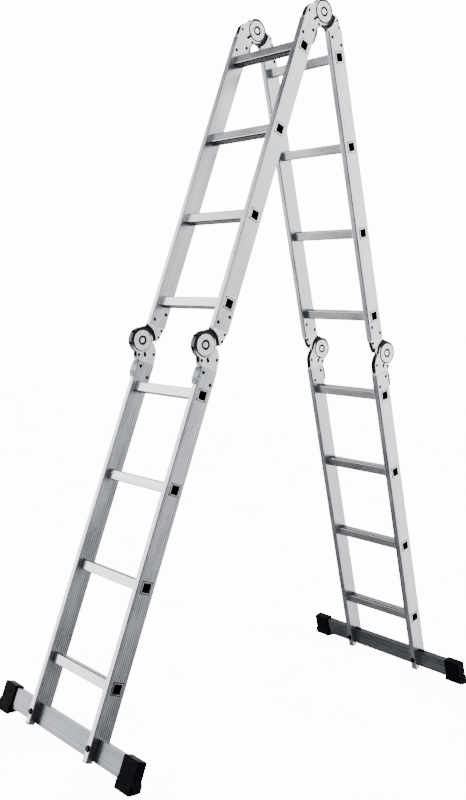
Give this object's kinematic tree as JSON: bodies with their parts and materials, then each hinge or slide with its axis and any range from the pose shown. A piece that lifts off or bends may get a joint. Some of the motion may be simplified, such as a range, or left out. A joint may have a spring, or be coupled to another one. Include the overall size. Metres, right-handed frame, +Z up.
{
  "type": "multi position ladder",
  "caption": "Folding aluminium ladder of straight sections joined by locking hinges, standing as a trestle on wide stabiliser bars.",
  "frame": {"origin": "on the floor, in the middle of the footprint of the standing trestle", "axes": "+Z up; +X across the ladder along the rungs; -Y towards the front leg and +Y towards the back leg"},
  "size_m": [0.712, 1.4656, 2.2401],
  "materials": {
    "stile_aluminium": "extruded, satin",
    "rung_aluminium": "extruded, satin",
    "bar_aluminium": "extruded, ribbed",
    "black_plastic": "moulded",
    "black_rubber": "moulded",
    "zinc_steel": "zinc plated, pressed",
    "bright_steel": "zinc plated"
  },
  "bodies": {
    "front_upper": {"front_knee_hinge_inner_left": "zinc_steel", "front_knee_hinge_inner_right": "zinc_steel", "front_upper_rung_plugs": "black_plastic", "front_upper_rungs": "rung_aluminium", "front_upper_section_rivets": "bright_steel", "front_upper_stile_left": "stile_aluminium", "front_upper_stile_right": "stile_aluminium", "top_hinge_outer_left": "zinc_steel", "top_hinge_outer_right": "zinc_steel", "top_pivot_rivets": "bright_steel"},
    "front_lower": {"front_bar_bolts": "bright_steel", "front_bar_nuts": "bright_steel", "front_end_cap_left": "black_rubber", "front_end_cap_right": "black_rubber", "front_foot_caps": "black_plastic", "front_knee_hinge_outer_left": "zinc_steel", "front_knee_hinge_outer_right": "zinc_steel", "front_knee_pivot_rivets": "bright_steel", "front_lower_rung_plugs": "black_plastic", "front_lower_rungs": "rung_aluminium", "front_lower_section_rivets": "bright_steel", "front_lower_stile_left": "stile_aluminium", "front_lower_stile_right": "stile_aluminium", "front_stabiliser_bar": "bar_aluminium"},
    "back_upper": {"back_knee_hinge_inner_left": "zinc_steel", "back_knee_hinge_inner_right": "zinc_steel", "back_upper_rung_plugs": "black_plastic", "back_upper_rungs": "rung_aluminium", "back_upper_section_rivets": "bright_steel", "back_upper_stile_left": "stile_aluminium", "back_upper_stile_right": "stile_aluminium", "top_hinge_inner_left": "zinc_steel", "top_hinge_inner_right": "zinc_steel"},
    "back_lower": {"back_bar_bolts": "bright_steel", "back_bar_nuts": "bright_steel", "back_end_cap_left": "black_rubber", "back_end_cap_right": "black_rubber", "back_foot_caps": "black_plastic", "back_knee_hinge_outer_left": "zinc_steel", "back_knee_hinge_outer_right": "zinc_steel", "back_knee_pivot_rivets": "bright_steel", "back_lower_rung_plugs": "black_plastic", "back_lower_rungs": "rung_aluminium", "back_lower_section_rivets": "bright_steel", "back_lower_stile_left": "stile_aluminium", "back_lower_stile_right": "stile_aluminium", "back_stabiliser_bar": "bar_aluminium"},
    "back_knee_lock_bar_left": {"back_knee_lock_bar_left": "bright_steel"},
    "back_knee_lock_bar_right": {"back_knee_lock_bar_right": "bright_steel"},
    "back_knee_release_lever_left": {"back_knee_release_lever_left": "zinc_steel"},
    "back_knee_release_lever_right": {"back_knee_release_lever_right": "zinc_steel"},
    "front_knee_lock_bar_left": {"front_knee_lock_bar_left": "bright_steel"},
    "front_knee_lock_bar_right": {"front_knee_lock_bar_right": "bright_steel"},
    "front_knee_release_lever_left": {"front_knee_release_lever_left": "zinc_steel"},
    "front_knee_release_lever_right": {"front_knee_release_lever_right": "zinc_steel"},
    "top_lock_bar_left": {"top_lock_bar_left": "bright_steel"},
    "top_lock_bar_right": {"top_lock_bar_right": "bright_steel"},
    "top_release_lever_left": {"top_release_lever_left": "zinc_steel"},
    "top_release_lever_right": {"top_release_lever_right": "zinc_steel"}
  },
  "joints": [
    {"name": "front_knee_fold", "type": "hinge", "parent": "front_upper", "child": "front_lower", "pos_m": [0, -0.4003, 1.15077], "axis": [-1, 0, 0], "range_deg": [0, 180]},
    {"name": "top_hinge_close", "type": "hinge", "parent": "front_upper", "child": "back_upper", "pos_m": [0, 0, 2.19985], "axis": [-1, 0, 0], "range_deg": [-146.4, 33.6]},
    {"name": "back_knee_fold", "type": "hinge", "parent": "back_upper", "child": "back_lower", "pos_m": [0, 0.4003, 1.15077], "axis": [1, 0, 0], "range_deg": [0, 180]},
    {"name": "front_knee_lever_left", "type": "hinge", "parent": "front_lower", "child": "front_knee_release_lever_left", "pos_m": [-0.1545, -0.4116, 1.09778], "axis": [-1, 0, 0], "range_deg": [0, 9]},
    {"name": "front_knee_lock_left", "type": "slide", "parent": "front_lower", "child": "front_knee_lock_bar_left", "axis": [0, -0.279, 0.9603], "range_m": [0, 0.009]},
    {"name": "front_knee_lever_right", "type": "hinge", "parent": "front_lower", "child": "front_knee_release_lever_right", "pos_m": [0.1545, -0.4116, 1.09778], "axis": [-1, 0, 0], "range_deg": [0, 9]},
    {"name": "front_knee_lock_right", "type": "slide", "parent": "front_lower", "child": "front_knee_lock_bar_right", "axis": [0, -0.279, 0.9603], "range_m": [0, 0.009]},
    {"name": "top_lever_left", "type": "hinge", "parent": "front_upper", "child": "top_release_lever_left", "pos_m": [-0.1545, -0.01992, 2.14945], "axis": [1, 0, 0], "range_deg": [0, 9]},
    {"name": "top_lock_left", "type": "slide", "parent": "front_upper", "child": "top_lock_bar_left", "axis": [0, 0.7638, 0.6455], "range_m": [0, 0.009]},
    {"name": "top_lever_right", "type": "hinge", "parent": "front_upper", "child": "top_release_lever_right", "pos_m": [0.1545, -0.01992, 2.14945], "axis": [1, 0, 0], "range_deg": [0, 9]},
    {"name": "top_lock_right", "type": "slide", "parent": "front_upper", "child": "top_lock_bar_right", "axis": [0, 0.7638, 0.6455], "range_m": [0, 0.009]},
    {"name": "back_knee_lever_left", "type": "hinge", "parent": "back_lower", "child": "back_knee_release_lever_left", "pos_m": [-0.1545, 0.4116, 1.09778], "axis": [1, 0, 0], "range_deg": [0, 9]},
    {"name": "back_knee_lock_left", "type": "slide", "parent": "back_lower", "child": "back_knee_lock_bar_left", "axis": [0, 0.279, 0.9603], "range_m": [0, 0.009]},
    {"name": "back_knee_lever_right", "type": "hinge", "parent": "back_lower", "child": "back_knee_release_lever_right", "pos_m": [0.1545, 0.4116, 1.09778], "axis": [1, 0, 0], "range_deg": [0, 9]},
    {"name": "back_knee_lock_right", "type": "slide", "parent": "back_lower", "child": "back_knee_lock_bar_right", "axis": [0, 0.279, 0.9603], "range_m": [0, 0.009]}
  ],
  "couplings": [
    {"joint": "front_knee_lock_left", "follows": "front_knee_lever_left", "m_per_rad": 0.056659},
    {"joint": "front_knee_lock_right", "follows": "front_knee_lever_right", "m_per_rad": 0.056659},
    {"joint": "top_lock_left", "follows": "top_lever_left", "m_per_rad": 0.056659},
    {"joint": "top_lock_right", "follows": "top_lever_right", "m_per_rad": 0.056659},
    {"joint": "back_knee_lock_left", "follows": "back_knee_lever_left", "m_per_rad": 0.056659},
    {"joint": "back_knee_lock_right", "follows": "back_knee_lever_right", "m_per_rad": 0.056659}
  ]
}
